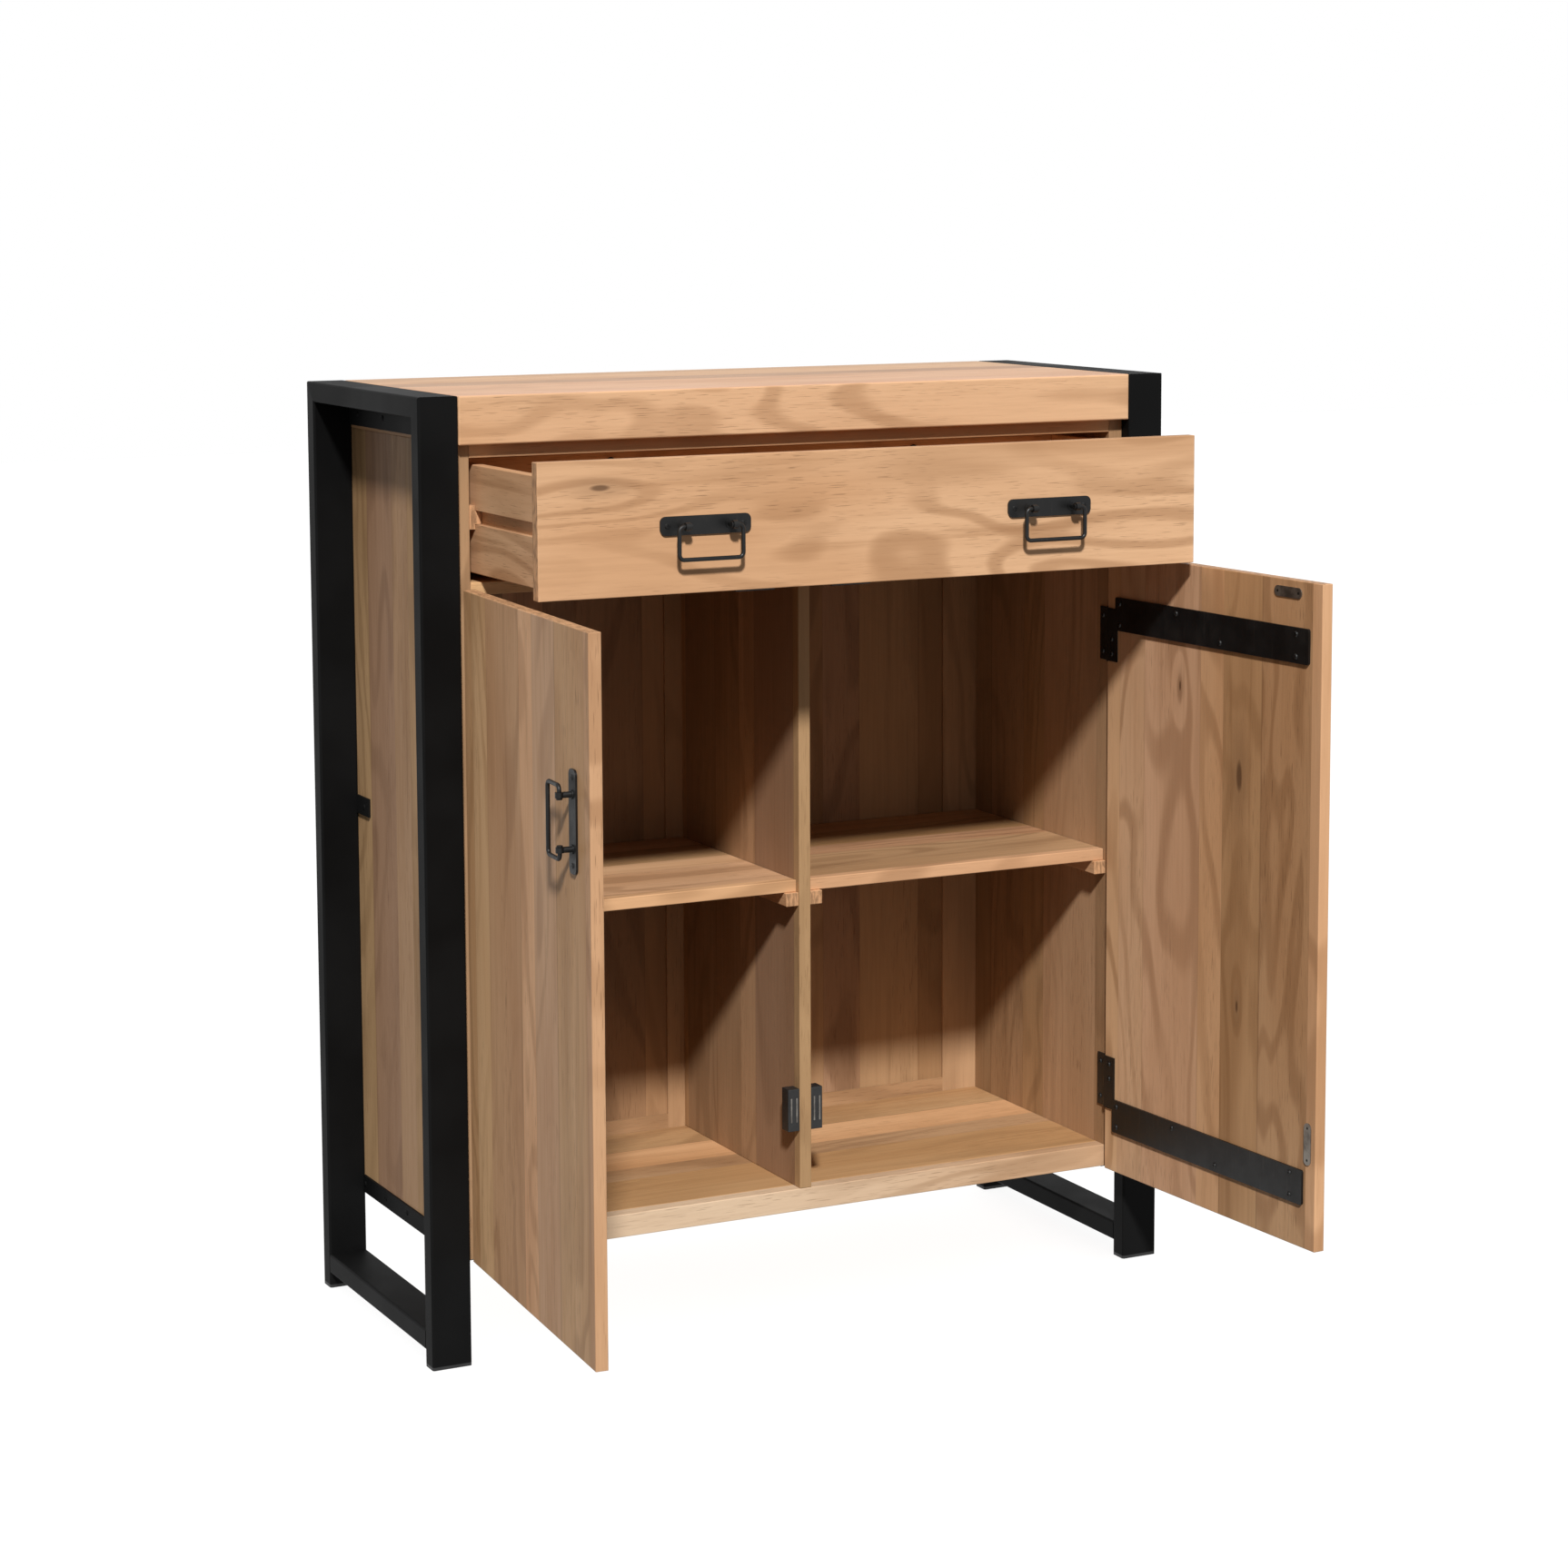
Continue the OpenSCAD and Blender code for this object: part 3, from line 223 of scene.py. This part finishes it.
    height = g.math("SUBTRACT", g.math("MULTIPLY", fibre, 0.35), pores)
    g.surface(Base_Color=colour, Roughness=g.ramp(fibre, 0.2, 0.8, 0.40, 0.56))
    g.surface(Specular_IOR_Level=gloss)
    g.bump(height, 0.35, 0.0005)
    return g.material


# ---------- metal, plastic and floor ----------

COAT_BLACK, COAT_GREY, DUST = grey(0.0035), grey(0.0060), grey(0.018)
IRON_BLACK = grey(0.008)
IRON_RUBBED = rgba((0.030, 0.024, 0.019))
IRON_SCRATCHED = rgba((0.060, 0.052, 0.045))
ZINC_BRIGHT = rgba((0.30, 0.28, 0.25))
ZINC_DULL = rgba((0.15, 0.135, 0.12))
PLASTIC_BLACK, PLASTIC_GREY = grey(0.010), grey(0.016)
FLOOR_GREY, FLOOR_WHITE = grey(0.91), grey(0.94)


def powder_coat(name, seed):
    """Black powder coat: fine orange peel, faint dust and slightly rubbed patches."""
    g = Graph(name)
    here = g.shifted(seed, 0.7, 1.3)
    peel = g.noise(here, scale=1400.0, detail=2.0)
    cloud = g.noise(here, scale=5.0, detail=3.0, rough=0.6)
    dust = g.ramp(g.noise(here, scale=420.0, detail=3.0, rough=0.7), 0.60, 0.80)
    colour = g.mix(g.ramp(cloud, 0.3, 0.7), COAT_BLACK, COAT_GREY)
    colour = g.mix(g.math("MULTIPLY", dust, 0.20), colour, DUST)
    g.surface(Base_Color=colour, Roughness=g.ramp(cloud, 0.25, 0.75, 0.46, 0.60))
    g.surface(Specular_IOR_Level=0.07)
    g.bump(peel, 0.25, 0.00035)
    return g.material


def worn_iron(name, seed):
    """Black lacquered iron with soft upright scratches and brown-grey rubbed spots."""
    g = Graph(name)
    here = g.shifted(seed, 0.9, 1.7)
    scratch = g.ramp(g.noise(here, (260.0, 260.0, 14.0), detail=3.0, rough=0.65), 0.58, 0.74)
    cloud = g.noise(here, scale=26.0, detail=4.0, rough=0.62)
    rubbed = g.ramp(cloud, 0.56, 0.78)
    colour = g.mix(g.math("MULTIPLY", rubbed, 0.40), IRON_BLACK, IRON_RUBBED)
    colour = g.mix(g.math("MULTIPLY", scratch, 0.22), colour, IRON_SCRATCHED)
    g.surface(Base_Color=colour, Roughness=g.ramp(cloud, 0.3, 0.7, 0.30, 0.50))
    g.surface(Metallic=0.35, Specular_IOR_Level=0.5)
    g.bump(g.math("ADD", cloud, g.math("MULTIPLY", scratch, 0.3)), 0.30, 0.0005)
    return g.material


def zinc(name, seed):
    """Zinc-plated steel with upright drawn lines and dull patches."""
    g = Graph(name)
    here = g.shifted(seed, 1.1, 0.6)
    drawn = g.noise(here, (900.0, 900.0, 30.0), detail=3.0, rough=0.6)
    cloud = g.noise(here, scale=60.0, detail=3.0, rough=0.6)
    colour = g.mix(g.ramp(cloud, 0.35, 0.7), ZINC_BRIGHT, ZINC_DULL)
    g.surface(Base_Color=colour, Roughness=g.ramp(drawn, 0.3, 0.7, 0.28, 0.44))
    g.surface(Metallic=0.9)
    g.bump(drawn, 0.20, 0.0002)
    return g.material


def plastic(name, seed):
    """Black moulded plastic with a fine eroded grain."""
    g = Graph(name)
    here = g.shifted(seed, 1.0, 0.4)
    grain = g.noise(here, scale=1100.0, detail=2.0)
    cloud = g.noise(here, scale=70.0, detail=2.0)
    colour = g.mix(g.ramp(cloud, 0.3, 0.7), PLASTIC_BLACK, PLASTIC_GREY)
    g.surface(Base_Color=colour, Roughness=g.ramp(grain, 0.3, 0.7, 0.38, 0.52))
    g.bump(grain, 0.30, 0.0003)
    return g.material


def painted_floor():
    """Pale seamless studio floor."""
    g = Graph("pale_floor")
    cloud = g.noise(g.place(), scale=0.8, detail=2.0)
    g.surface(Base_Color=g.mix(g.ramp(cloud, 0.3, 0.7), FLOOR_GREY, FLOOR_WHITE))
    g.surface(Roughness=g.ramp(cloud, 0.3, 0.7, 0.75, 0.85), Specular_IOR_Level=0.15)
    return g.material


# ---------- materials on the CAD nodes ----------

# node: (grain, across, tone, glued board width in metres or 0 for one board, contrast)
WOODEN = {
    "top_board": ("X", "Y", HONEY, 0.095, 0.8),
    "top_front_apron": ("X", "Z", HONEY, 0.0, 1.3),
    "top_rear_apron": ("X", "Z", HONEY, 0.0, 1.0),
    "top_end_battens": ("Y", "Z", TAWNY, 0.0, 1.0),
    "left_side_panel": ("Z", "Y", BROWN, 0.085, 1.2),
    "right_side_panel": ("Z", "Y", BROWN, 0.085, 1.0),
    "cabinet_ceiling": ("X", "Y", TAWNY, 0.08, 1.0),
    "mid_board": ("X", "Y", TAWNY, 0.08, 1.0),
    "bottom_board": ("X", "Y", TAWNY, 0.075, 0.9),
    "bottom_front_rail": ("X", "Z", PALE, 0.0, 1.1),
    "divider": ("Z", "Y", BROWN, 0.07, 1.0),
    "left_shelf": ("X", "Y", TAWNY, 0.08, 1.2),
    "right_shelf": ("X", "Y", TAWNY, 0.08, 1.2),
    "shelf_cleats": ("Y", "Z", HONEY, 0.0, 1.0),
    "drawer_runners": ("Y", "Z", HONEY, 0.0, 1.0),
    "back_stiles": ("Z", "X", BROWN, 0.0, 1.0),
    "back_rails": ("X", "Z", BROWN, 0.0, 1.0),
    "left_back_panel": ("Z", "X", BROWN, 0.09, 1.2),
    "right_back_panel": ("Z", "X", BROWN, 0.09, 1.2),
    "left_door_panel": ("Z", "Y", HONEY, 0.075, 1.2),
    "right_door_panel": ("Z", "Y", HONEY, 0.075, 1.5),
    "drawer_front": ("X", "Z", HONEY, 0.0, 1.5),
    "drawer_left_side": ("Y", "Z", HONEY, 0.0, 1.5),
    "drawer_right_side": ("Y", "Z", TAWNY, 0.0, 1.2),
    "drawer_back": ("X", "Z", TAWNY, 0.0, 1.0),
    "drawer_bottom": ("X", "Y", TAWNY, 0.10, 0.9),
}
IRON = (
    "left_door_straps", "right_door_straps", "left_hinge_leaves", "right_hinge_leaves",
    "left_hinge_pins", "right_hinge_pins", "left_door_handle", "right_door_handle",
    "left_door_bail", "right_door_bail", "drawer_handles", "drawer_left_bail",
    "drawer_right_bail", "left_door_screws", "right_door_screws", "drawer_screws",
    "hinge_leaf_screws",
)
COATED = (
    "left_front_leg", "left_rear_leg", "left_top_rail", "left_floor_runner",
    "right_front_leg", "right_rear_leg", "right_top_rail", "right_floor_runner",
    "bottom_angles", "top_brackets", "rear_clips", "frame_screws",
)
ZINC = ("left_door_strikes", "right_door_strikes", "catch_poles")
PLASTIC = ("foot_caps", "catch_bodies")


def corner(node, x=0.5, y=0.5, z=0.5):
    """A point in a node's box, by its share of each side."""
    low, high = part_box(node)
    return Vector(low[i] + (high[i] - low[i]) * share for i, share in enumerate((x, y, z)))


def drawer_knots():
    """One knot near the front's upper left corner, as (along, side, radius)."""
    spot = corner("drawer_front", x=0.088, z=0.80)
    radius = 0.0055
    return ((spot.x, spot.z, radius),)


def right_door_knots():
    """Three knots as (along, side, radius); spots holds shares of the panel's box and a radius."""
    spots = ((0.36, 0.69, 0.0085), (0.64, 0.81, 0.0030), (0.36, 0.335, 0.0034))
    places = ((corner("right_door_panel", y=y, z=z), radius) for y, z, radius in spots)
    return tuple((spot.z, spot.y, radius) for spot, radius in places)


def dress(node, material):
    """The material goes on the object's slots, so the CAD mesh stays as it is."""
    for slot in nodes[node].material_slots:
        slot.link = "OBJECT"
        slot.material = material


SATIN = 0.18
GLOSS = {"top_board": 0.75}
KNOTS = {"drawer_front": drawer_knots(), "right_door_panel": right_door_knots()}
for seed, (node, (grain, across, tone, plank, contrast)) in enumerate(WOODEN.items()):
    knots = KNOTS.get(node, ())
    gloss = GLOSS.get(node, SATIN)
    dress(node, wood("wood_" + node, grain, across, seed + 1, tone, plank, knots, contrast, gloss))
for seed, node in enumerate(IRON):
    dress(node, worn_iron("iron_" + node, seed + 0.5))
for seed, node in enumerate(COATED):
    dress(node, powder_coat("coat_" + node, seed + 0.5))
for seed, node in enumerate(ZINC):
    dress(node, zinc("zinc_" + node, seed + 0.5))
for seed, node in enumerate(PLASTIC):
    dress(node, plastic("plastic_" + node, seed + 0.5))


# ---------- floor, light and camera ----------

def floor():
    half = 14.0
    mesh = bpy.data.meshes.new("studio_floor")
    points = [(x * half, y * half, 0.0) for x, y in ((-1, -1), (1, -1), (1, 1), (-1, 1))]
    mesh.from_pydata(points, [], [(0, 1, 2, 3)])
    mesh.materials.append(painted_floor())
    piece = bpy.data.objects.new("studio_floor", mesh)
    bpy.context.scene.collection.objects.link(piece)
    piece.visible_diffuse = False
    piece.visible_glossy = False
    return piece


def area_light(name, place, aim, size, watts):
    data = bpy.data.lights.new(name, "AREA")
    data.shape = "RECTANGLE"
    data.size, data.size_y = size
    data.energy = watts
    lamp = bpy.data.objects.new(name, data)
    lamp.location = place
    lamp.rotation_euler = (aim - place).to_track_quat("-Z", "Y").to_euler()
    bpy.context.scene.collection.objects.link(lamp)


def sun_light(name, direction, strength, soft_angle):
    """Parallel light that comes from the given direction."""
    data = bpy.data.lights.new(name, "SUN")
    data.energy = strength
    data.angle = math.radians(soft_angle)
    lamp = bpy.data.objects.new(name, data)
    lamp.rotation_euler = Vector(direction).to_track_quat("Z", "Y").to_euler()
    bpy.context.scene.collection.objects.link(lamp)
    return lamp


def group(name, pieces):
    """A collection for light linking; it isn't part of the scene's own tree."""
    made = bpy.data.collections.new(name)
    for piece in pieces:
        made.objects.link(piece)
    return made


def world(ambient, reflected):
    """White studio walls, dimmer as a light and in reflections than where they are seen."""
    data = bpy.data.worlds.new("studio")
    bpy.context.scene.world = data
    data.use_nodes = True
    tree = data.node_tree
    back = tree.nodes["Background"]
    back.inputs["Color"].default_value = grey(1.0)
    path = tree.nodes.new("ShaderNodeLightPath")
    total = ambient
    for ray, level in (("Is Camera Ray", 1.0), ("Is Glossy Ray", reflected)):
        step = tree.nodes.new("ShaderNodeMath")
        step.operation = "MULTIPLY_ADD"
        tree.links.new(path.outputs[ray], step.inputs[0])
        step.inputs[1].default_value = level - ambient
        if isinstance(total, float):
            step.inputs[2].default_value = total
        else:
            tree.links.new(total, step.inputs[2])
        total = step.outputs[0]
    tree.links.new(total, back.inputs["Strength"])


def camera(place, yaw, pitch, roll, lens, shift_y):
    """yaw turns from +Y towards +X, pitch looks up, and roll follows; all in degrees."""
    yaw, pitch, roll = (math.radians(a) for a in (yaw, pitch, roll))
    ahead = Vector((math.sin(yaw) * math.cos(pitch), math.cos(yaw) * math.cos(pitch), math.sin(pitch)))
    right = Vector((math.cos(yaw), -math.sin(yaw), 0.0))
    up = right.cross(ahead)
    right, up = (
        right * math.cos(roll) + up * math.sin(roll),
        up * math.cos(roll) - right * math.sin(roll),
    )
    data = bpy.data.cameras.new("photo_camera")
    data.lens = lens
    data.shift_y = shift_y
    data.clip_start, data.clip_end = 0.1, 60.0
    eye = bpy.data.objects.new("photo_camera", data)
    turn = Matrix((right, up, -ahead)).transposed().to_4x4()
    eye.matrix_world = Matrix.Translation(place) @ turn
    bpy.context.scene.collection.objects.link(eye)
    bpy.context.scene.camera = eye


front_left_foot = corner("left_front_leg", 0, 0, 0)
front_left_foot.z = 0.0
centre = corner("divider")

ground = floor()
sideboard = group("sideboard_pieces", nodes.values())
stage_only = group("stage_pieces", [ground])
world(ambient=0.17, reflected=0.75)

# The key lights the sideboard only and the wash the floor only, so no shadow falls on the white ground
key = sun_light("key", direction=(-0.44, -1.0, 0.95), strength=3.95, soft_angle=5.0)
key.light_linking.receiver_collection = sideboard
floor_wash = sun_light("floor_wash", direction=(0.0, 0.0, 1.0), strength=3.20, soft_angle=30.0)
floor_wash.light_linking.receiver_collection = stage_only
floor_wash.light_linking.blocker_collection = stage_only
area_light("fill", place=centre + Vector((2.6, -2.4, 0.9)), aim=centre, size=(2.0, 2.0), watts=3.0)

camera(
    place=front_left_foot + Vector((-1.46255, -3.84535, 1.40482)),
    yaw=26.701, pitch=-6.750, roll=-0.236, lens=81.571, shift_y=-0.11587,
)
bpy.context.scene.view_settings.view_transform = "Standard"
